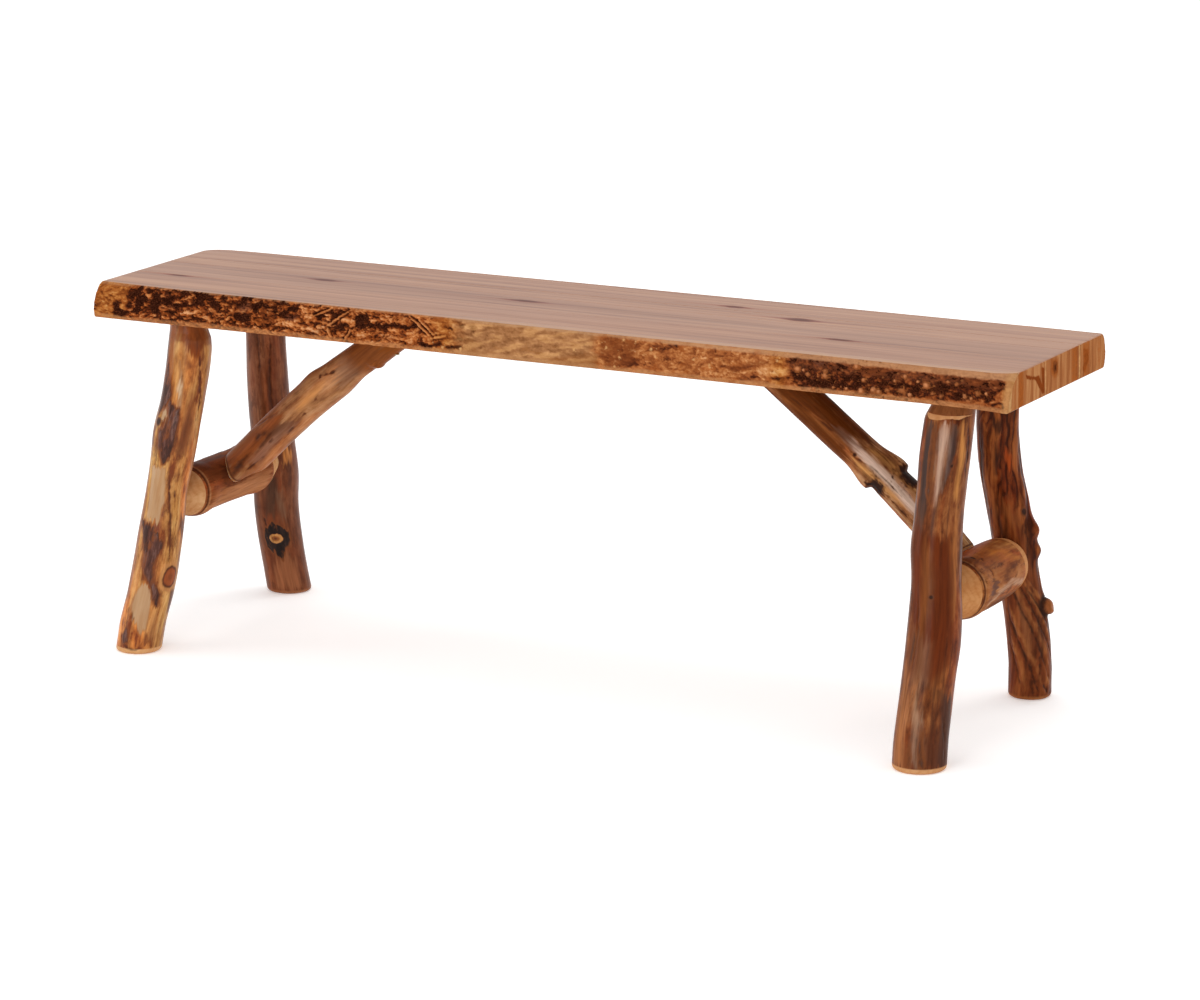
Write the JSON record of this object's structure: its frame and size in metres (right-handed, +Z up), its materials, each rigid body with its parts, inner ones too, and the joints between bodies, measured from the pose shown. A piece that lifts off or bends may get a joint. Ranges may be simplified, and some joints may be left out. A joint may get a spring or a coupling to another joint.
{
  "type": "rustic log bench",
  "caption": "Backless rustic bench: glued plank seat with a rough live edge on splayed peeled-log legs, with log end rails and bent branch braces.",
  "frame": {"origin": "on the floor under the middle of the bench", "axes": "+X along the seat to the right, +Y towards the rear edge, +Z up"},
  "size_m": [1.22, 0.4366, 0.452],
  "materials": {
    "seat_wood": "satin varnish",
    "log_wood": "gloss varnish",
    "screw_steel": "yellow zinc plated"
  },
  "bodies": {
    "root": {"seat_stave_front": "seat_wood", "seat_stave_2": "seat_wood", "seat_stave_3": "seat_wood", "seat_stave_4": "seat_wood", "seat_stave_rear": "seat_wood", "leg_front_left": "log_wood", "leg_rear_left": "log_wood", "leg_front_right": "log_wood", "leg_rear_right": "log_wood", "end_rail_left": "log_wood", "end_rail_right": "log_wood", "brace_left": "log_wood", "brace_right": "log_wood", "brace_to_seat_screws": "screw_steel", "brace_to_rail_screws": "screw_steel", "rail_tenon_screws": "screw_steel"}
  },
  "joints": []
}
